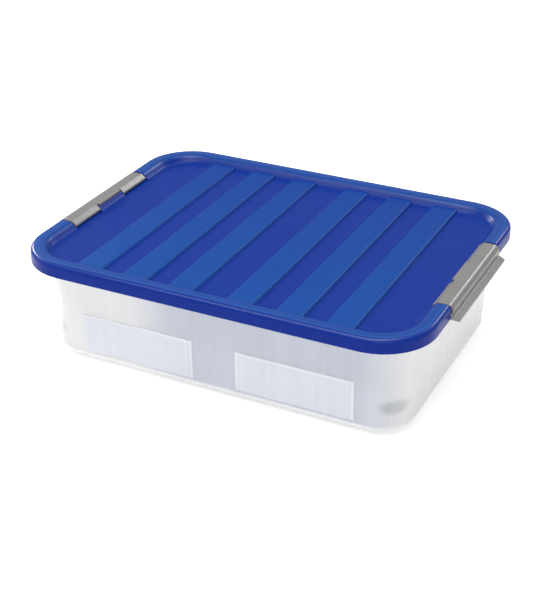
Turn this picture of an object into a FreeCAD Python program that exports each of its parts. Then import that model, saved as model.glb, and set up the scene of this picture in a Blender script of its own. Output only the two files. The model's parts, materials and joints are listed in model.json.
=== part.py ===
"""Under-bed storage box: a translucent tub with a clip-on lid and four small rollers.

Frame: millimetres, +Z up, origin on the floor under the middle of the box, +X along the long
side, the long front wall towards -Y. The rollers touch the floor at Z = 0.
"""
import FreeCAD, Part

import math
import os

import Sketcher
from FreeCAD import Rotation, Vector

DIMENSIONS = {
    # lid outline and height, over the moulding and without the clips
    "lid_length": 600, "lid_width": 456, "box_height": 168, "lid_corner": 78,
    # lid section
    "lid_wall": 2.4, "skirt_height": 20, "crest_round": 6, "rim_width": 20, "rim_slope": 10,
    "field_depth": 11, "crest_soft": 9, "field_soft": 10, "skirt_edge": 0.8,
    # raised bands across the lid's field
    "band_width": 42, "band_pitch": 71.25, "band_first": 44, "band_rise": 4, "band_bevel": 3,
    "band_bury": 1, "band_soft": 3, "band_end": 4,
    # clip notches in the lid's short sides, and troughs with the rods that the clips turn on
    "notch_half": 100.6, "notch_depth": 3.8, "notch_inner": 25, "trough_depth": 10.8,
    "trough_inner": 36, "trough_outer": 20.5, "middle_half": 32.6, "hinge_inset": 24,
    "hinge_drop": 7.4, "rod_radius": 1.4, "rod_bury": 1,
    # tub
    "tub_wall": 2.2, "floor_gap": 3, "base_inset_x": 28, "base_inset_y": 40, "base_corner": 50,
    "draft_run": 6, "base_round": 12, "inner_round": 10,
    "seat_gap": 0.3, "rim_gap": 1, "flange_thick": 2, "lip_height": 5.8,
    # label panels on the long walls
    "panel_start": 33, "panel_length": 173, "panel_bottom": 18, "panel_height": 60,
    "panel_rise": 1.2, "panel_bury": 0.6,
    # clips
    "clip_half": 98, "clip_thick": 3, "clip_top_drop": 0.3, "clip_out": 3, "clip_round": 9,
    "clip_inner_round": 4, "clip_edge": 0.5, "bar_inset": 20, "bar_overlap": 1,
    "bar_middle_inset": 23.8, "bar_middle_half": 29, "tab_inner": 33.2, "tab_outer": 98,
    "tab_turn": 129, "tab_root": 20, "tab_under": 3, "knuckle_radius": 3, "rod_play": 0.06,
    "lip_top": 152.5, "lip_reach": 9, "lip_bottom": 145.6, "lip_edge": 2.4, "lip_step": 0.6,
    "catch_top": 147.8, "catch_reach": 2.8, "catch_slope": 2,
    # rollers and the round housings that hold them
    "roller_x": 236, "roller_y": 124, "wheel_radius": 10, "wheel_width": 12, "wheel_round": 1.5,
    "axle_radius": 2, "axle_half": 15.5, "axle_grip": 0.02, "wheel_play": 0.06, "hub_radius": 6,
    "hub_recess": 1.5,
    "housing_radius": 18, "housing_top": 23, "housing_foot": 2, "housing_flange": 20.5,
    "housing_flange_thick": 1, "housing_round": 1.5, "slot_half_x": 11.5, "slot_half_y": 6.6,
    "slot_top": 21.2, "socket_play": 0.15, "socket_wall": 2.2,
}

doc = FreeCAD.newDocument("under_bed_box")
sheet = doc.addObject("Spreadsheet::Sheet", "dims")
for row, (alias, number) in enumerate(DIMENSIONS.items(), start=1):
    sheet.set(f"A{row}", alias)
    sheet.set(f"B{row}", str(number))
    sheet.setAlias(f"B{row}", alias)
doc.recompute()


def value(expression):
    """The number that an expression on the sheet has now, in millimetres."""
    return float(sheet.evalExpression(expression))


# ---------------------------------------------------------------- sketch and feature helpers
def new_body(name):
    body = doc.addObject("PartDesign::Body", name)
    body.Label = name
    return body


def origin_part(body, role):
    return next(part for part in body.Origin.OriginFeatures if part.Role == role)


def new_sketch(body, name, plane="XY_Plane", height="0"):
    sketch = body.newObject("Sketcher::SketchObject", name)
    sketch.AttachmentSupport = [(origin_part(body, plane), "")]
    sketch.MapMode = "FlatFace"
    sketch.setExpression("AttachmentOffset.Base.z", height)
    return sketch


def place_point(sketch, geometry, point, x, y):
    for kind, expression in (("DistanceX", x), ("DistanceY", y)):
        index = sketch.addConstraint(
            Sketcher.Constraint(kind, -1, 1, geometry, point, value(expression)))
        sketch.setExpression(f"Constraints[{index}]", expression)


def set_radius(sketch, geometry, radius):
    index = sketch.addConstraint(Sketcher.Constraint("Radius", geometry, value(radius)))
    sketch.setExpression(f"Constraints[{index}]", radius)


def add_polygon(sketch, points):
    """A closed loop of straight edges, whose corners are pairs of expressions."""
    first = sketch.GeometryCount
    corners = [Vector(value(x), value(y), 0) for x, y in points]
    for start, end in zip(corners, corners[1:] + corners[:1]):
        sketch.addGeometry(Part.LineSegment(start, end), False)
    for i, (x, y) in enumerate(points):
        following = (i + 1) % len(points)
        sketch.addConstraint(
            Sketcher.Constraint("Coincident", first + i, 2, first + following, 1))
        place_point(sketch, first + i, 1, x, y)


def add_rectangle(sketch, x0, x1, y0, y1):
    add_polygon(sketch, [(x0, y0), (x1, y0), (x1, y1), (x0, y1)])


def add_circle(sketch, x, y, radius):
    index = sketch.addGeometry(Part.Circle(Vector(value(x), value(y), 0), Vector(0, 0, 1),
                                           value(radius)), False)
    place_point(sketch, index, 3, x, y)
    set_radius(sketch, index, radius)


def add_rounded_rectangle(sketch, half_x, half_y, radius):
    """A rectangle about the origin with round corners: four arcs joined by tangent edges."""
    hx, hy, r = value(half_x), value(half_y), value(radius)
    signs = ((1, 1), (-1, 1), (-1, -1), (1, -1))
    arcs = []
    for quarter, (sx, sy) in enumerate(signs):
        circle = Part.Circle(Vector(sx * (hx - r), sy * (hy - r), 0), Vector(0, 0, 1), r)
        start = quarter * math.pi / 2
        arcs.append(sketch.addGeometry(Part.ArcOfCircle(circle, start, start + math.pi / 2), False))
    for quarter in range(len(signs)):
        arc, following = arcs[quarter], arcs[(quarter + 1) % len(signs)]
        line = sketch.addGeometry(Part.LineSegment(sketch.getPoint(arc, 2),
                                                   sketch.getPoint(following, 1)), False)
        sketch.addConstraint(Sketcher.Constraint("Tangent", arc, 2, line, 1))
        sketch.addConstraint(Sketcher.Constraint("Tangent", line, 2, following, 1))
    for arc, (sx, sy) in zip(arcs, signs):
        place_point(sketch, arc, 3, f"{sx} * ({half_x} - ({radius}))",
                    f"{sy} * ({half_y} - ({radius}))")
        set_radius(sketch, arc, radius)


def finished(feature):
    """Compute the feature, and stop if it failed or left no solid."""
    doc.recompute()
    if "Invalid" in feature.State or feature.Shape.isNull() or not feature.Shape.isValid():
        raise RuntimeError(f"{feature.Label} failed: {feature.State}")
    return feature


def extrude(body, kind, name, sketch, length, upwards=True, symmetric=False, taper=None):
    """A Pad or Pocket. upwards is along the sketch's normal; a symmetric one is split by it."""
    feature = body.newObject(f"PartDesign::{kind}", name)
    feature.Profile = sketch
    feature.setExpression("Length", length)
    if symmetric:
        feature.SideType = "Symmetric"
    feature.Reversed = upwards if kind == "Pocket" else not upwards
    if taper:
        feature.setExpression("TaperAngle", taper)
    return finished(feature)


def pad(body, name, sketch, length, **options):
    return extrude(body, "Pad", name, sketch, length, **options)


def pocket(body, name, sketch, length, **options):
    """A Pocket, checked to have removed something."""
    before = body.Tip.Shape.Volume
    feature = extrude(body, "Pocket", name, sketch, length, **options)
    if not feature.Shape.Volume < before:
        raise RuntimeError(f"{name} cuts nothing")
    return feature


def loft(body, kind, name, lower, upper):
    feature = body.newObject(f"PartDesign::{kind}Loft", name)
    feature.Profile = lower
    feature.Sections = [upper]
    feature.Ruled = True
    return finished(feature)


def fillet(body, name, radius, chosen):
    """Round the edges of the body's last feature for which chosen(edge) is true."""
    base = body.Tip
    names = [f"Edge{i}" for i, edge in enumerate(base.Shape.Edges, start=1) if chosen(edge)]
    feature = body.newObject("PartDesign::Fillet", name)
    feature.Base = (base, names)
    feature.setExpression("Radius", radius)
    return finished(feature)


def mirror(body, name, originals, planes):
    """Copies of the features across one or two of the body's own planes."""
    parts = []
    for plane in planes:
        step = body.newObject("PartDesign::Mirrored", f"{name}_{plane[:2].lower()}")
        step.MirrorPlane = (origin_part(body, plane), [""])
        parts.append(step)
    if len(parts) == 1:
        parts[0].Originals = originals
        body.Tip = parts[0]
        return finished(parts[0])
    both = body.newObject("PartDesign::MultiTransform", name)
    both.Originals = originals
    both.Transformations = parts
    body.Tip = both
    return finished(both)


def at_height(edge, height):
    box = edge.BoundBox
    return abs(box.ZMin - height) < 0.01 and abs(box.ZMax - height) < 0.01


def within(edge, half_x):
    return max(edge.BoundBox.XMax, -edge.BoundBox.XMin) < half_x


def along_y_at(edge, x, z):
    """An edge parallel to Y through the point x, z."""
    box = edge.BoundBox
    middle = edge.CenterOfMass
    return (box.XLength < 0.01 and box.ZLength < 0.01 and box.YLength > 1
            and abs(middle.x - x) < 0.02 and abs(middle.z - z) < 0.02)


# ---------------------------------------------------------------- shared expressions
HALF_X = "dims.lid_length / 2"
HALF_Y = "dims.lid_width / 2"
SKIRT_BOTTOM = "dims.box_height - dims.skirt_height"
FIELD = "dims.box_height - dims.field_depth"
SEAT = f"({FIELD} - dims.lid_wall - dims.seat_gap)"
NOTCH_FLOOR = "dims.box_height - dims.notch_depth"
TROUGH_FLOOR = "dims.box_height - dims.trough_depth"
HINGE_X = f"{HALF_X} - dims.hinge_inset"
HINGE_Z = "dims.box_height - dims.hinge_drop"


def lid_outline(body, name, height, inset):
    """The lid's outline, moved in by inset, at a height."""
    sketch = new_sketch(body, name, height=height)
    add_rounded_rectangle(sketch, f"{HALF_X} - ({inset})", f"{HALF_Y} - ({inset})",
                          f"dims.lid_corner - ({inset})")
    return sketch


def wall_outline(body, name, height, inset):
    """The tub wall's outline at its base, moved in by inset, drawn at a height."""
    sketch = new_sketch(body, name, height=height)
    add_rounded_rectangle(sketch, f"{HALF_X} - dims.base_inset_x - ({inset})",
                          f"{HALF_Y} - dims.base_inset_y - ({inset})",
                          f"dims.base_corner - ({inset})")
    return sketch


# ---------------------------------------------------------------- tub
def make_bin():
    body = new_body("bin")
    wall_height = f"({SEAT} - dims.floor_gap)"
    draft = f"atan(dims.draft_run / {wall_height})"
    flange_outline = "dims.lid_wall + dims.rim_gap"
    lip_bottom = f"{SEAT} - dims.lip_height"

    block = lid_outline(body, "rim_block_outline", lip_bottom, flange_outline)
    pad(body, "rim_block", block, "dims.lip_height")
    under = lid_outline(body, "rim_underside_outline", lip_bottom,
                        f"{flange_outline} + dims.flange_thick")
    pocket(body, "rim_underside", under, "dims.lip_height - dims.flange_thick")

    wall = wall_outline(body, "wall_foot", "dims.floor_gap", "0")
    pad(body, "wall", wall, wall_height, taper=draft)

    mouth = wall_outline(body, "mouth", SEAT, "dims.tub_wall - dims.draft_run")
    pocket(body, "cavity", mouth, f"{wall_height} - dims.tub_wall", upwards=False,
           taper=f"-({draft})")
    inner_floor = value("dims.floor_gap + dims.tub_wall")
    fillet(body, "floor_fillet", "dims.inner_round", lambda edge: at_height(edge, inner_floor))
    underside = value("dims.floor_gap")
    fillet(body, "base_fillet", "dims.base_round", lambda edge: at_height(edge, underside))

    corners = [(sx, sy) for sx in (-1, 1) for sy in (-1, 1)]
    bosses = new_sketch(body, "socket_bosses", height="dims.floor_gap + dims.tub_wall / 2")
    bores = new_sketch(body, "socket_bores", height="dims.floor_gap")
    for sx, sy in corners:
        centre = (f"{sx} * dims.roller_x", f"{sy} * dims.roller_y")
        bore = "dims.housing_radius + dims.socket_play"
        add_circle(bosses, *centre, f"{bore} + dims.socket_wall")
        add_circle(bores, *centre, bore)
    boss_top = "dims.housing_top + dims.socket_play + dims.socket_wall"
    pad(body, "sockets", bosses, f"{boss_top} - dims.floor_gap - dims.tub_wall / 2")
    pocket(body, "socket_holes", bores, f"{boss_top} - dims.socket_wall - dims.floor_gap")

    slope = f"dims.draft_run / {wall_height}"
    low, high = "dims.panel_bottom", "(dims.panel_bottom + dims.panel_height)"

    def wall_face(height, out):
        return (f"-({HALF_Y} - dims.base_inset_y + ({height} - dims.floor_gap) * {slope}"
                f" + {out})")

    panel = new_sketch(body, "panel_section", "YZ_Plane", "dims.panel_start")
    add_polygon(panel, [(wall_face(low, "dims.panel_rise"), low),
                        (wall_face(low, "-dims.panel_bury"), low),
                        (wall_face(high, "-dims.panel_bury"), high),
                        (wall_face(high, "dims.panel_rise"), high)])
    first = pad(body, "panel", panel, "dims.panel_length")
    mirror(body, "panels", [first], ["XZ_Plane", "YZ_Plane"])
    return body


# ---------------------------------------------------------------- lid
def make_lid():
    body = new_body("lid")
    top = value("dims.box_height")
    outline = lid_outline(body, "lid_outline", SKIRT_BOTTOM, "0")
    pad(body, "block", outline, "dims.skirt_height")
    fillet(body, "crest_fillet", "dims.crest_round", lambda edge: at_height(edge, top))
    inside = lid_outline(body, "inside_outline", SKIRT_BOTTOM, "dims.lid_wall")
    pocket(body, "inside", inside, "dims.skirt_height - dims.lid_wall")

    # The dish under the field: its slope is the rim's inner slope, moved out by the wall.
    run = "dims.rim_slope / dims.field_depth"
    skew = "dims.lid_wall * sqrt(1 + (dims.rim_slope / dims.field_depth)^2)"
    under_top = f"dims.rim_width + dims.lid_wall * {run} - {skew}"
    dish_low = lid_outline(body, "dish_low", f"{FIELD} - dims.lid_wall",
                           f"{under_top} + dims.rim_slope")
    dish_high = lid_outline(body, "dish_high", "dims.box_height - dims.lid_wall", under_top)
    loft(body, "Additive", "dish", dish_low, dish_high)

    # Blocks under the rim, which become the floors of the notches and of the deeper troughs.
    notch_block = new_sketch(body, "notch_block_plan", height=f"{NOTCH_FLOOR} - dims.lid_wall")
    trough_block = new_sketch(body, "trough_block_plan", height=f"{TROUGH_FLOOR} - dims.lid_wall")
    half = "(dims.notch_half + dims.lid_wall)"
    for side in (-1, 1):
        inner = f"{side} * ({HALF_X} - dims.rim_width - dims.rim_slope)"
        add_rectangle(notch_block, inner, f"{side} * ({HALF_X} - dims.lid_wall / 2)",
                      f"-{half}", half)
        add_rectangle(trough_block, inner,
                      f"{side} * ({HALF_X} - dims.trough_outer + dims.lid_wall)",
                      f"-{half}", half)
    pad(body, "notch_block", notch_block, "dims.notch_depth")
    pad(body, "trough_block", trough_block,
        "dims.trough_depth - dims.notch_depth + dims.lid_wall")

    field_low = lid_outline(body, "field_low", FIELD, "dims.rim_width + dims.rim_slope")
    field_high = lid_outline(body, "field_high", "dims.box_height", "dims.rim_width")
    loft(body, "Subtractive", "field", field_low, field_high)
    field = value(FIELD)
    inner_half = value(f"{HALF_X} - dims.rim_width") + 0.1
    fillet(body, "crest_inner_fillet", "dims.crest_soft",
           lambda edge: at_height(edge, top) and within(edge, inner_half))
    fillet(body, "field_fillet", "dims.field_soft", lambda edge: at_height(edge, field))
    skirt = value(SKIRT_BOTTOM)
    fillet(body, "skirt_fillet", "dims.skirt_edge", lambda edge: at_height(edge, skirt))

    add_bands(body)
    cut_notches(body)
    add_hinge_rods(body)
    return body


def add_band_section(sketch, centre, foot, crown, half_foot, corner):
    """A band's cross-section: sloping sides that turn over round shoulders into a flat crown."""
    slope = "atan(dims.band_rise / dims.band_bevel)"
    c, low, high = value(centre), value(foot), value(crown)
    half, r, angle = value(half_foot), value(corner), math.radians(value(slope))
    run = (high - low) / math.tan(angle)
    reach = r * math.tan(angle / 2)
    lines = []
    for side in (-1, 1):
        shoulder = c + side * (half - run)
        start = Vector(shoulder + side * reach * math.cos(angle), high - reach * math.sin(angle), 0)
        end = Vector(shoulder - side * reach, high, 0)
        foot_point = Vector(c + side * half, low, 0)
        lines.append((foot_point, start, end, Vector(end.x, high - r, 0)))
    (foot_a, slope_a, crown_a, hub_a), (foot_b, slope_b, crown_b, hub_b) = lines
    side_a = sketch.addGeometry(Part.LineSegment(slope_a, foot_a), False)
    bottom = sketch.addGeometry(Part.LineSegment(foot_a, foot_b), False)
    side_b = sketch.addGeometry(Part.LineSegment(foot_b, slope_b), False)
    circle_b = Part.Circle(hub_b, Vector(0, 0, 1), r)
    circle_a = Part.Circle(hub_a, Vector(0, 0, 1), r)
    upright = math.pi / 2
    arc_b = sketch.addGeometry(Part.ArcOfCircle(circle_b, upright - angle, upright), False)
    top = sketch.addGeometry(Part.LineSegment(crown_b, crown_a), False)
    arc_a = sketch.addGeometry(Part.ArcOfCircle(circle_a, upright, upright + angle), False)
    for joined in ((side_b, 2, arc_b, 1), (arc_b, 2, top, 1), (top, 2, arc_a, 1),
                   (arc_a, 2, side_a, 1)):
        sketch.addConstraint(Sketcher.Constraint("Tangent", *joined))
    sketch.addConstraint(Sketcher.Constraint("Coincident", side_a, 2, bottom, 1))
    sketch.addConstraint(Sketcher.Constraint("Coincident", bottom, 2, side_b, 1))
    sketch.addConstraint(Sketcher.Constraint("Equal", arc_a, arc_b))
    sketch.addConstraint(Sketcher.Constraint("Horizontal", top))
    place_point(sketch, bottom, 1, f"{centre} - ({half_foot})", foot)
    place_point(sketch, bottom, 2, f"{centre} + ({half_foot})", foot)
    set_radius(sketch, arc_a, corner)
    height = sketch.addConstraint(Sketcher.Constraint("DistanceY", -1, 1, top, 1, high))
    sketch.setExpression(f"Constraints[{height}]", crown)
    for line, lean in ((side_a, f"180 deg + {slope}"), (side_b, f"180 deg - {slope}")):
        start, end = sketch.getPoint(line, 1), sketch.getPoint(line, 2)
        index = sketch.addConstraint(Sketcher.Constraint(
            "Angle", line, math.atan2(end.y - start.y, end.x - start.x)))
        sketch.setExpression(f"Constraints[{index}]", lean)


def add_bands(body):
    """Six raised bands across the field, hollow underneath, whose ends are buried in the rim."""
    crown = f"{FIELD} + dims.band_rise"
    lean = "dims.band_bevel / dims.band_rise"
    bands = new_sketch(body, "band_sections", "XZ_Plane")
    hollows = new_sketch(body, "hollow_sections", "XZ_Plane")
    for side in (-1, 1):
        for step in range(3):
            centre = f"{side} * (dims.band_first + {step} * dims.band_pitch)"
            add_band_section(bands, centre, f"{FIELD} - dims.band_bury", crown,
                             f"dims.band_width / 2 + dims.band_bury * {lean}", "dims.band_soft")
            add_band_section(hollows, centre, f"{FIELD} - dims.lid_wall",
                             f"{crown} - dims.lid_wall", "dims.band_width / 2 - dims.lid_wall",
                             "dims.band_soft / 2")
    reach = f"2 * ({HALF_Y} - dims.rim_width - dims.rim_slope"
    pad(body, "bands", bands, f"{reach} + dims.band_end)", symmetric=True)
    pocket(body, "hollows", hollows, f"{reach} - dims.lid_wall)", symmetric=True)


def cut_notches(body):
    """Notches through the rim and skirt at both short ends, open for each clip."""
    above = new_sketch(body, "notch_plan", height=NOTCH_FLOOR)
    skirt = new_sketch(body, "skirt_notch_plan", height=NOTCH_FLOOR)
    beyond = f"{HALF_X} + dims.lid_wall"
    for side in (-1, 1):
        add_rectangle(above, f"{side} * ({HALF_X} - dims.notch_inner)", f"{side} * ({beyond})",
                      "-dims.notch_half", "dims.notch_half")
        add_rectangle(skirt, f"{side} * ({HALF_X} - dims.lid_wall - dims.rim_gap / 2)",
                      f"{side} * ({beyond})", "-dims.notch_half", "dims.notch_half")
    pocket(body, "notches", above, "dims.notch_depth")
    pocket(body, "skirt_notches", skirt, "dims.skirt_height", upwards=False)
    troughs = new_sketch(body, "trough_plan", height=TROUGH_FLOOR)
    for side in (-1, 1):
        for end in (-1, 1):
            add_rectangle(troughs, f"{side} * ({HALF_X} - dims.trough_inner)",
                          f"{side} * ({HALF_X} - dims.trough_outer)",
                          f"{end} * dims.middle_half", f"{end} * dims.notch_half")
    pocket(body, "troughs", troughs, "dims.trough_depth")


def add_hinge_rods(body):
    """A rod along each trough, moulded with the lid, for a clip tab to turn on."""
    reach = "(dims.notch_half - dims.middle_half + 2 * dims.rod_bury)"
    middle = "(dims.notch_half + dims.middle_half) / 2"
    for end, tag in ((-1, "back"), (1, "front")):
        rods = new_sketch(body, f"rod_section_{tag}", "XZ_Plane", f"{end} * {middle}")
        for side in (-1, 1):
            add_circle(rods, f"{side} * ({HINGE_X})", HINGE_Z, "dims.rod_radius")
        pad(body, f"rods_{tag}", rods, reach, symmetric=True)


# ---------------------------------------------------------------- clips
def make_clip(name, turned):
    """A clip drawn at the +X end; the other one is turned half round about Z."""
    body = new_body(name)
    top = "(dims.box_height - dims.clip_top_drop)"
    under = f"({top} - dims.clip_thick)"
    face = f"({HALF_X} + dims.clip_out)"
    back = f"({face} - dims.clip_thick)"
    bar_start = f"({HALF_X} - dims.bar_inset)"
    section = new_sketch(body, "bar_section", "XZ_Plane")
    add_polygon(section, [
        (bar_start, under), (bar_start, top), (face, top), (face, "dims.lip_top"),
        (f"{face} + dims.lip_reach", "dims.lip_bottom + dims.lip_edge"),
        (f"{face} + dims.lip_reach", "dims.lip_bottom"),
        (back, "dims.lip_bottom + dims.lip_step"),
        (f"{back} - dims.catch_reach", "dims.lip_bottom + dims.lip_step"),
        (f"{back} - dims.catch_reach", "dims.catch_top"),
        (back, "dims.catch_top + dims.catch_slope"),
        (back, under)])
    pad(body, "bar", section, "2 * dims.clip_half", symmetric=True)
    fillet(body, "outer_fillet", "dims.clip_round",
           lambda edge: along_y_at(edge, value(face), value(top)))
    fillet(body, "inner_fillet", "dims.clip_inner_round",
           lambda edge: along_y_at(edge, value(back), value(under)))

    overlap = f"{bar_start} + dims.bar_overlap"
    between = new_sketch(body, "middle_section", "XZ_Plane")
    add_rectangle(between, f"{HALF_X} - dims.bar_middle_inset", overlap, under, top)
    pad(body, "middle", between, "2 * dims.bar_middle_half", symmetric=True)

    # Each tab leaves its knuckle along a tangent and meets the bar.
    r = "dims.knuckle_radius"
    middle = "(dims.tab_inner + dims.tab_outer) / 2"
    length = "dims.tab_outer - dims.tab_inner"

    def on_knuckle(turn):
        return (f"{HINGE_X} + {r} * cos({turn} * 1 deg)", f"{HINGE_Z} + {r} * sin({turn} * 1 deg)")

    for end, tag in ((-1, "back"), (1, "front")):
        tab = new_sketch(body, f"tab_section_{tag}", "XZ_Plane", f"{end} * {middle}")
        add_polygon(tab, [on_knuckle("dims.tab_turn"), (bar_start, top), (overlap, top),
                          (overlap, under), (f"{HINGE_X} + dims.tab_under", under),
                          on_knuckle("dims.tab_root"), (HINGE_X, HINGE_Z)])
        pad(body, f"tab_{tag}", tab, length, symmetric=True)
        knuckle = new_sketch(body, f"knuckle_section_{tag}", "XZ_Plane", f"{end} * {middle}")
        add_circle(knuckle, HINGE_X, HINGE_Z, r)
        pad(body, f"knuckle_{tag}", knuckle, length, symmetric=True)
    bore = new_sketch(body, "bore_section", "XZ_Plane")
    add_circle(bore, HINGE_X, HINGE_Z, "dims.rod_radius + dims.rod_play")
    pocket(body, "bore", bore, "2 * dims.clip_half", symmetric=True)
    ends = value("dims.clip_half")
    fillet(body, "end_fillet", "dims.clip_edge",
           lambda edge: abs(abs(edge.CenterOfMass.y) - ends) < 0.01
           and edge.BoundBox.YLength < 0.01)
    if turned:
        body.Placement.Rotation = Rotation(Vector(0, 0, 1), 180)
    return body


# ---------------------------------------------------------------- rollers
def put_at_corner(body, sx, sy, height):
    body.setExpression("Placement.Base.x", f"{sx} * dims.roller_x")
    body.setExpression("Placement.Base.y", f"{sy} * dims.roller_y")
    body.setExpression("Placement.Base.z", height)


def make_housing(name, sx, sy):
    """A round cup, pressed up into the tub's socket, with a slot for the wheel."""
    body = new_body(name)
    plan = new_sketch(body, "cup_plan", height="dims.housing_foot")
    add_circle(plan, "0", "0", "dims.housing_radius")
    pad(body, "cup", plan, "dims.housing_top - dims.housing_foot")
    top = value("dims.housing_top")
    fillet(body, "cup_fillet", "dims.housing_round", lambda edge: at_height(edge, top))
    flange = new_sketch(body, "flange_plan", height="dims.housing_foot")
    add_circle(flange, "0", "0", "dims.housing_flange")
    pad(body, "flange", flange, "dims.housing_flange_thick")
    slot = new_sketch(body, "slot_plan", height="dims.housing_foot")
    add_rectangle(slot, "-dims.slot_half_x", "dims.slot_half_x", "-dims.slot_half_y",
                  "dims.slot_half_y")
    pocket(body, "slot", slot, "dims.slot_top - dims.housing_foot")
    bore = new_sketch(body, "axle_bore_section", "XZ_Plane")
    add_circle(bore, "0", "dims.wheel_radius", "dims.axle_radius + dims.axle_grip")
    pocket(body, "axle_bore", bore, "2 * dims.axle_half", symmetric=True)
    put_at_corner(body, sx, sy, "0")
    return body


def make_wheel(name, sx, sy):
    """A roller with recessed hubs, on its own axis."""
    body = new_body(name)
    rim = new_sketch(body, "rim_section", "XZ_Plane")
    add_circle(rim, "0", "0", "dims.wheel_radius")
    pad(body, "rim", rim, "dims.wheel_width", symmetric=True)
    half = value("dims.wheel_width / 2")
    fillet(body, "rim_fillet", "dims.wheel_round",
           lambda edge: abs(abs(edge.CenterOfMass.y) - half) < 0.01
           and edge.BoundBox.YLength < 0.01)
    for end, tag in ((-1, "back"), (1, "front")):
        hub = new_sketch(body, f"hub_section_{tag}", "XZ_Plane",
                         f"{end} * (dims.wheel_width / 2 - dims.hub_recess)")
        add_circle(hub, "0", "0", "dims.hub_radius")
        add_circle(hub, "0", "0", "dims.axle_radius * 2")
        pocket(body, f"hub_{tag}", hub, "dims.hub_recess * 2", upwards=end > 0)
    bore = new_sketch(body, "wheel_bore_section", "XZ_Plane")
    add_circle(bore, "0", "0", "dims.axle_radius + dims.wheel_play")
    pocket(body, "wheel_bore", bore, "dims.wheel_width * 2", symmetric=True)
    put_at_corner(body, sx, sy, "dims.wheel_radius")
    return body


def make_axle(name, sx, sy):
    body = new_body(name)
    section = new_sketch(body, "pin_section", "XZ_Plane")
    add_circle(section, "0", "0", "dims.axle_radius")
    pad(body, "pin", section, "2 * dims.axle_half", symmetric=True)
    put_at_corner(body, sx, sy, "dims.wheel_radius")
    return body


parts = [make_bin(), make_lid(), make_clip("clip_right", False), make_clip("clip_left", True)]
for sy, row in ((-1, "front"), (1, "back")):
    for sx, column in ((-1, "left"), (1, "right")):
        parts.append(make_housing(f"castor_housing_{row}_{column}", sx, sy))
        parts.append(make_wheel(f"wheel_{row}_{column}", sx, sy))
        parts.append(make_axle(f"axle_{row}_{column}", sx, sy))
doc.recompute()

# ---------------------------------------------------------------- checks and export
for item in doc.Objects:
    if "Invalid" in item.State or "Error" in item.State:
        raise RuntimeError(f"{item.Name} did not compute: {item.State}")
for part in parts:
    shape = part.Shape
    if shape.isNull() or not shape.isValid() or len(shape.Solids) != 1:
        raise RuntimeError(f"{part.Label} is not one valid solid")

os.makedirs("parts", exist_ok=True)
for part in parts:
    box = part.Shape.BoundBox
    print(f"{part.Label}: {box.XLength:.1f} x {box.YLength:.1f} x {box.ZLength:.1f},"
          f" z from {box.ZMin:.2f}, {part.Shape.Volume / 1000:.1f} cm3")
    part.Shape.exportStep(f"parts/{part.Label}.step")
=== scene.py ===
"""Under-bed storage box: looks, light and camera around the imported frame."""
import json
import math

import bpy
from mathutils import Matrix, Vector

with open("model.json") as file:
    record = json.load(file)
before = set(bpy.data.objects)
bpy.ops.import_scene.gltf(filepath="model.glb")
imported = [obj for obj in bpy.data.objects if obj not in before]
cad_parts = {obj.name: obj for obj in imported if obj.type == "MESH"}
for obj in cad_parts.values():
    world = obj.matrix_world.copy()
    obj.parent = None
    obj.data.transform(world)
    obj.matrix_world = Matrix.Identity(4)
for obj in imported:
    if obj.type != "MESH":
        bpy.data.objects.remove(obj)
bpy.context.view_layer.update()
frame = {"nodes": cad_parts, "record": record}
NODES = frame["nodes"]

# Places that the materials follow, in metres from the frame's origin.
LID_STRAIGHT_X, LID_STRAIGHT_Y, LID_CORNER = 0.222, 0.150, 0.078
BAND_END_Y = 0.196
PANEL_X, PANEL_Z = 0.1195, 0.048
WALL_FACE_Y = 0.1872
ROLLER_X, ROLLER_Y, CUP_RADIUS = 0.236, 0.124, 0.0208
CLIP_LIP_Z = 0.1515


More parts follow.
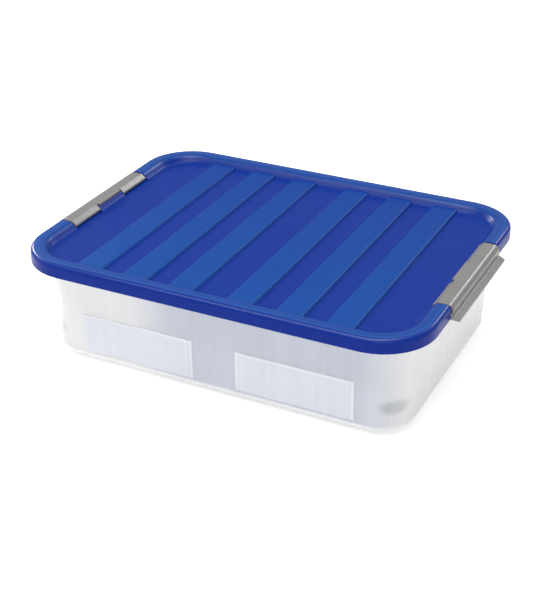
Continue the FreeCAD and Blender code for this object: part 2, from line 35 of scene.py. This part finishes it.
# ---------------------------------------------------------------- shader helpers
class Surface:
    """A material whose Principled shader is fed by procedural textures in object space."""

    def __init__(self, name):
        self.material = bpy.data.materials.new(name)
        self.material.use_nodes = True
        self.tree = self.material.node_tree
        self.shader = self.tree.nodes["Principled BSDF"]
        coordinates = self.tree.nodes.new("ShaderNodeTexCoord")
        self.place = coordinates.outputs["Object"]
        self.x, self.y, self.z = self.split(self.place)
        self.facing_up = self.split(coordinates.outputs["Normal"])[2]

    def split(self, vector):
        node = self.tree.nodes.new("ShaderNodeSeparateXYZ")
        self.tree.links.new(vector, node.inputs["Vector"])
        return [node.outputs[axis] for axis in "XYZ"]

    def feed(self, socket, source):
        """Link source to a socket, or set it if it's a number or a colour."""
        if isinstance(source, bpy.types.NodeSocket):
            self.tree.links.new(source, socket)
        else:
            socket.default_value = source

    def use(self, name, source):
        self.feed(self.shader.inputs[name], source)

    def math(self, operation, *values):
        node = self.tree.nodes.new("ShaderNodeMath")
        node.operation = operation
        for socket, source in zip(node.inputs, values):
            self.feed(socket, source)
        return node.outputs["Value"]

    def spread(self, source, low, high, start=0.0, end=1.0):
        """source, from start..end to low..high."""
        node = self.tree.nodes.new("ShaderNodeMapRange")
        self.feed(node.inputs["Value"], source)
        node.inputs["From Min"].default_value = start
        node.inputs["From Max"].default_value = end
        node.inputs["To Min"].default_value = low
        node.inputs["To Max"].default_value = high
        return node.outputs["Result"]

    def mix(self, amount, first, second):
        """A blend of two colours."""
        node = self.tree.nodes.new("ShaderNodeMix")
        node.data_type = "RGBA"
        self.feed(node.inputs["Factor"], amount)
        for socket, source in ((node.inputs["A"], first), (node.inputs["B"], second)):
            self.feed(socket, source if isinstance(source, bpy.types.NodeSocket) else (*source, 1))
        return node.outputs["Result"]

    def noise(self, scale, detail=4.0, stretch=None, turn=0.0):
        """Noise, in cycles per metre. stretch scales the axes and turn is about Z, in degrees."""
        texture = self.tree.nodes.new("ShaderNodeTexNoise")
        texture.inputs["Scale"].default_value = scale
        texture.inputs["Detail"].default_value = detail
        source = self.place
        if stretch:
            mapping = self.tree.nodes.new("ShaderNodeMapping")
            mapping.inputs["Scale"].default_value = stretch
            mapping.inputs["Rotation"].default_value = (0, 0, math.radians(turn))
            self.tree.links.new(source, mapping.inputs["Vector"])
            source = mapping.outputs["Vector"]
        self.tree.links.new(source, texture.inputs["Vector"])
        return texture.outputs["Fac"]

    def distance(self, parts, centre):
        """How far the point with these coordinates is from centre."""
        total = 0.0
        for part, middle in zip(parts, centre):
            gap = self.math("SUBTRACT", part, middle)
            total = self.math("ADD", self.math("MULTIPLY", gap, gap), total)
        return self.math("SQRT", total)

    def near(self, source, centre, half, soft):
        """1 where source is within half of centre, falling to 0 over soft."""
        gap = self.math("ABSOLUTE", self.math("SUBTRACT", source, centre))
        return self.spread(gap, 1, 0, half, half + soft)

    def scratches(self, turns=(18, -35, 80), fine=0.72):
        """Sparse thin lines in a few directions, 0 to 1."""
        total = 0.0
        for index, turn in enumerate(turns):
            streaks = self.noise(9 + 4 * index, 2, stretch=(1.2, 42, 1.2), turn=turn)
            total = self.math("MAXIMUM", total, self.spread(streaks, 0, 1, fine, fine + 0.03))
        return total

    def bump(self, height, strength, distance, under=None):
        node = self.tree.nodes.new("ShaderNodeBump")
        node.inputs["Strength"].default_value = strength
        node.inputs["Distance"].default_value = distance
        self.feed(node.inputs["Height"], height)
        if under is not None:
            self.tree.links.new(under, node.inputs["Normal"])
        self.use("Normal", node.outputs["Normal"])
        return node.outputs["Normal"]


# ---------------------------------------------------------------- materials
def blue_lid():
    """Royal blue: paler raised bands, a glossier crest, painted shade on near-vertical faces and
    along the crest's rounded outer edge, a narrow painted highlight line just inside that edge,
    and band paleness that weakens towards the back as painted light.

    inset is how far a point lies inside the lid's rounded outline.
    """
    s = Surface("blue_lid")
    width, pitch, first, last = 0.0196, 0.07125, 0.044, 0.214
    span = s.math("ABSOLUTE", s.x)
    nearest = s.math("PINGPONG", s.math("SUBTRACT", span, first), pitch / 2)
    bands = s.math("MULTIPLY", s.spread(nearest, 1, 0, width, width + 0.0012),
                   s.spread(span, 1, 0, last, last + 0.001))
    bands = s.math("MULTIPLY", bands,
                   s.spread(s.math("ABSOLUTE", s.y), 1, 0, BAND_END_Y, BAND_END_Y + 0.006))
    crest = s.spread(s.z, 0, 1, 0.163, 0.1672)
    # painted shade: near-vertical faces, turned away from the overhead light, are darkened in
    # colour below
    painted_upright_shade = s.spread(s.facing_up, 1, 0, 0.15, 0.58)
    depth = s.math("ABSOLUTE", s.y)
    beyond = (s.math("MAXIMUM", s.math("SUBTRACT", span, LID_STRAIGHT_X), 0),
              s.math("MAXIMUM", s.math("SUBTRACT", depth, LID_STRAIGHT_Y), 0))
    inset = s.math("SUBTRACT", LID_CORNER, s.distance(beyond, (0, 0)))
    # painted shade on the crest's rounded outer edge, and a narrow painted highlight line just
    # inside it
    painted_shoulder_shade = s.spread(inset, 1, 0, 0.0050, 0.0085)
    painted_glint = s.near(inset, 0.0085, 0.0005, 0.0014)
    mottle = s.noise(11, 3)
    deep = s.mix(mottle, (0.0012, 0.0215, 0.203), (0.0020, 0.0255, 0.226))
    pale = s.mix(mottle, (0.0015, 0.046, 0.236), (0.0024, 0.054, 0.262))
    marks = s.scratches()
    # painted light: band paleness is full at the front and weakens towards the back, as if lit
    # from the front
    bands_with_painted_front_light = s.math("MULTIPLY", bands, s.spread(s.y, 1, 0.55, -0.16, 0.20))
    raised = s.math("MAXIMUM", bands_with_painted_front_light, s.math("MULTIPLY", crest, 0.8))
    colour = s.mix(raised, deep, pale)
    # painted shade: near-vertical faces and the crest's rounded outer edge are mixed towards a
    # darker blue, with less specular
    dark = s.math("MAXIMUM", s.math("MULTIPLY", painted_upright_shade, 0.8), s.math("MULTIPLY", painted_shoulder_shade, 0.65))
    colour = s.mix(dark, colour, (0.0012, 0.016, 0.205))
    # painted highlight: a lighter blue line along the crest's outer edge
    colour = s.mix(s.math("MULTIPLY", painted_glint, 0.22), colour, (0.03, 0.15, 0.44))
    s.use("Base Color", s.mix(s.math("MULTIPLY", marks, 0.08), colour, (0.08, 0.14, 0.42)))
    smudges = s.noise(26, 5)
    rough = s.math("ADD", s.spread(smudges, 0.30, 0.40), s.math("MULTIPLY", bands, 0.05))
    rough = s.math("SUBTRACT", rough, s.math("MULTIPLY", crest, 0.06))
    s.use("Roughness", s.math("ADD", rough, s.math("MULTIPLY", marks, 0.08)))
    shine = s.math("ADD", s.spread(crest, 0.16, 0.36), s.math("MULTIPLY", dark, -0.08))
    s.use("Specular IOR Level", shine)
    waves = s.bump(s.noise(16, 2), 0.25, 0.0006)
    s.bump(s.noise(2400, 2), 0.30, 0.00004, under=waves)
    return s.material


def milky_bin():
    """Natural polypropylene, clearer in the middle of the long walls, where a bluish painted shade
    from the lid above is mixed in.

    The label panels' rims and top steps and a band along the rounded base are paler as painted
    highlights, a grey painted contact shadow runs along the bottom, the roller sockets are
    coloured dark blue-grey as painted shade seen through the wall, and the wall in front of each
    socket is clearer, so that the socket shows through it.
    """
    s = Surface("milky_bin")
    span = s.math("ABSOLUTE", s.x)
    depth = s.math("ABSOLUTE", s.y)
    face = s.spread(depth, 0, 1, WALL_FACE_Y, WALL_FACE_Y + 0.0006)
    panel = s.math("MULTIPLY", s.near(span, PANEL_X, 0.0868, 0.0003),
                   s.near(s.z, PANEL_Z, 0.0303, 0.0003))
    panel = s.math("MULTIPLY", panel, face)
    # painted highlight: paler lines along the raised panels' outer rims and one line near each
    # end, fainter at the far left
    inside = s.math("MULTIPLY", s.near(span, PANEL_X, 0.0828, 0.0014),
                    s.near(s.z, 0.0463, 0.0278, 0.0014))
    painted_panel_edge_highlight = s.math("MAXIMUM", s.math("SUBTRACT", panel, inside), 0)
    from_middle = s.math("ABSOLUTE", s.math("SUBTRACT", span, PANEL_X))
    painted_panel_line_highlight = s.near(from_middle, 0.0765, 0.0006, 0.001)
    painted_panel_line_highlight = s.math("MULTIPLY", s.math("MULTIPLY", painted_panel_line_highlight, panel), 0.5)
    painted_panel_edge_highlight = s.math("MULTIPLY", s.math("MAXIMUM", painted_panel_edge_highlight, painted_panel_line_highlight),
                    s.spread(s.x, 0.04, 0.22, -0.19, -0.06))
    # painted highlight: a paler band along the rounded base, just above the painted contact shadow
    painted_foot_highlight = s.math("MULTIPLY", s.spread(s.z, 1, 0, 0.011, 0.016),
                  s.spread(s.z, 0, 1, 0.0065, 0.0085))
    # painted shadow: a grey line along the bottom, where the box stands just above the floor
    painted_contact_shadow = s.spread(s.z, 1, 0, 0.0060, 0.0080)
    # painted highlight: the panels' top step is made paler and less clear, as if lit from above
    painted_ledge_highlight = s.math("MULTIPLY", s.near(s.z, 0.0781, 0.0004, 0.0003), panel)
    cloud = s.noise(7, 4)
    # painted shade: a darker, bluish zone in the middle of the long walls under the lid, the lid's
    # blue painted in; the wall is also made clearer there
    painted_lid_shade = s.math("MULTIPLY", s.near(s.x, 0.075, 0.135, 0.07), s.spread(depth, 0, 1, 0.165, 0.18))
    painted_lid_shade = s.math("MULTIPLY", painted_lid_shade, s.spread(painted_foot_highlight, 1, 0.1))
    painted_lid_shade = s.math("MULTIPLY", painted_lid_shade, s.spread(panel, 1, 0.12))
    height = s.math("MULTIPLY", s.z, 1.8)
    window = s.distance((span, depth, height), (0.256, 0.173, 0.080))
    window = s.spread(window, 1, 0, 0.013, 0.026)
    streaks = s.noise(1, 3, stretch=(70, 70, 3))
    # painted shade: the roller socket cups are coloured dark blue-grey and made opaque, standing
    # in for the shaded recess around the roller housing seen through the wall
    reach = s.distance((span, depth), (ROLLER_X, ROLLER_Y))
    cup = s.math("MULTIPLY", s.spread(reach, 1, 0, CUP_RADIUS, CUP_RADIUS + 0.0007),
                 s.near(s.z, 0.016, 0.0105, 0.0005))
    milk = s.mix(cloud, (0.895, 0.90, 0.91), (0.925, 0.928, 0.934))
    milk = s.mix(painted_lid_shade, milk, (0.80, 0.836, 0.926))
    milk = s.mix(panel, milk, (0.83, 0.85, 0.91))
    # painted highlights: panel rims, panel top steps and the base band are mixed towards white and
    # made less clear
    painted_highlights = s.math("MAXIMUM", s.math("MAXIMUM", painted_panel_edge_highlight, painted_ledge_highlight), s.math("MULTIPLY", painted_foot_highlight, 0.35))
    milk = s.mix(painted_highlights, milk, (0.98, 0.98, 0.99))
    milk = s.mix(painted_contact_shadow, milk, (0.72, 0.72, 0.73))
    s.use("Base Color", s.mix(cup, milk, (0.20, 0.24, 0.40)))
    clear = s.math("ADD", s.spread(cloud, 0.38, 0.32), s.math("MULTIPLY", painted_lid_shade, 0.15))
    clear = s.math("ADD", clear, s.math("MULTIPLY", window, 0.20))
    clear = s.math("SUBTRACT", clear, s.math("MULTIPLY", panel, 0.03))
    clear = s.math("ADD", clear, s.spread(streaks, -0.02, 0.02, 0.3, 0.7))
    clear = s.math("SUBTRACT", clear, s.math("MULTIPLY", painted_highlights, 0.3))
    s.use("Transmission Weight", s.math("MULTIPLY", clear, s.spread(cup, 1, 0)))
    satin = s.spread(s.noise(40, 4), 0.20, 0.27)
    s.use("Roughness", s.math("SUBTRACT", satin, s.math("MULTIPLY", window, 0.16)))
    s.use("IOR", 1.33)
    waves = s.bump(s.noise(13, 2), 0.20, 0.0006)
    s.bump(s.noise(1500, 2), 0.20, 0.00003, under=waves)
    return s.material


def soft_grey():
    """Grey clips, with fine grip ribs and a darker tone below the top of the lip."""
    s = Surface("grey_clips")
    marks = s.scratches(turns=(70, 95, 120), fine=0.68)
    flow = s.mix(s.noise(35, 4), (0.158, 0.155, 0.150), (0.196, 0.193, 0.186))
    lip = s.spread(s.z, 1, 0, CLIP_LIP_Z, CLIP_LIP_Z + 0.0013)
    ribs = s.math("PINGPONG", s.y, 0.003)
    ribs = s.math("MULTIPLY", s.spread(ribs, 0, 1, 0.0008, 0.0022), lip)
    flow = s.mix(s.math("MULTIPLY", lip, 0.2), flow, (0.13, 0.13, 0.128))
    colour = s.mix(s.math("MULTIPLY", ribs, 0.16), flow, (0.36, 0.36, 0.35))
    s.use("Base Color", s.mix(s.math("MULTIPLY", marks, 0.25), colour, (0.42, 0.415, 0.40)))
    s.use("Roughness", s.spread(s.noise(90, 4), 0.27, 0.37))
    s.use("Specular IOR Level", 0.6)
    cut = s.bump(ribs, 0.45, 0.0006)
    s.bump(s.noise(1700, 3), 0.30, 0.00006, under=cut)
    return s.material


def plain(name, dark, light, rough_low, rough_high, metallic=0.0):
    s = Surface(name)
    s.use("Base Color", s.mix(s.noise(60, 4), dark, light))
    s.use("Roughness", s.spread(s.noise(220, 3), rough_low, rough_high))
    s.use("Metallic", metallic)
    s.bump(s.noise(1900, 2), 0.3, 0.00004)
    return s.material


MATERIALS = {
    "clear_plastic": milky_bin(),
    "blue_plastic": blue_lid(),
    "grey_plastic": soft_grey(),
    "housing_plastic": plain("housing", (0.11, 0.12, 0.17), (0.15, 0.16, 0.21), 0.45, 0.58),
    "wheel_plastic": plain("wheels", (0.025, 0.025, 0.03), (0.05, 0.05, 0.055), 0.38, 0.55),
    "steel": plain("steel_pins", (0.48, 0.48, 0.49), (0.62, 0.62, 0.62), 0.22, 0.36, metallic=1.0),
}
for entry in frame["record"]["subparts"]:
    node = NODES[entry["node"]]
    node.data.materials.clear()
    node.data.materials.append(MATERIALS[entry["material_slot"]])


# ---------------------------------------------------------------- stage
def make_floor():
    bpy.ops.mesh.primitive_plane_add(size=14, location=(0, 0, -0.0002))
    floor = bpy.context.object
    floor.name = "floor"
    s = Surface("floor_white")
    s.use("Base Color", (0.88, 0.88, 0.88, 1))
    s.use("Roughness", 0.8)
    s.use("Specular IOR Level", 0.1)
    s.use("Emission Color", (1, 1, 1, 1))
    s.use("Emission Strength", 0.45)
    floor.data.materials.append(s.material)


def make_area(name, place, aim, size, power):
    data = bpy.data.lights.new(name, "AREA")
    data.shape = "DISK"
    data.size = size
    data.energy = power
    light = bpy.data.objects.new(name, data)
    bpy.context.collection.objects.link(light)
    light.location = place
    light.rotation_euler = (Vector(aim) - Vector(place)).to_track_quat("-Z", "Y").to_euler()


def make_camera():
    azimuth, elevation, distance = math.radians(26.08), math.radians(28.37), 1.796
    target = Vector((0.0360, -0.0958, 0.1162))
    back = Vector((math.sin(azimuth) * math.cos(elevation),
                   -math.cos(azimuth) * math.cos(elevation),
                   math.sin(elevation)))
    data = bpy.data.cameras.new("camera")
    data.sensor_width = 36
    data.lens = 78.85
    camera = bpy.data.objects.new("camera", data)
    bpy.context.collection.objects.link(camera)
    camera.location = target + back * distance
    camera.rotation_euler = (-back).to_track_quat("-Z", "Y").to_euler()
    bpy.context.scene.camera = camera


make_floor()
make_area("overhead", (0.1, -0.5, 2.3), (0, 0, 0.1), 1.5, 38)
make_area("front", (1.4, -2.4, 1.1), (0, 0, 0.08), 1.8, 14)
make_area("side", (-2.4, -0.4, 1.2), (0, 0, 0.1), 1.4, 6)
make_area("streak_left", (-1.9, 0.9, 1.05), (0, 0, 0.15), 0.4, 18)
make_area("streak_right", (0.5, 2.0, 1.45), (0, 0, 0.15), 0.4, 9)
make_area("streak_front", (-0.9, -1.1, 1.9), (0, 0, 0.15), 0.4, 9)
make_area("streak_top", (0.2, 0.65, 2.1), (0.2, -0.1, 0.15), 0.35, 5)
world = bpy.data.worlds.new("studio")
world.use_nodes = True
world.node_tree.nodes["Background"].inputs["Color"].default_value = (1, 1, 1, 1)
world.node_tree.nodes["Background"].inputs["Strength"].default_value = 0.35
bpy.context.scene.world = world
bpy.context.scene.view_settings.view_transform = "Standard"
make_camera()
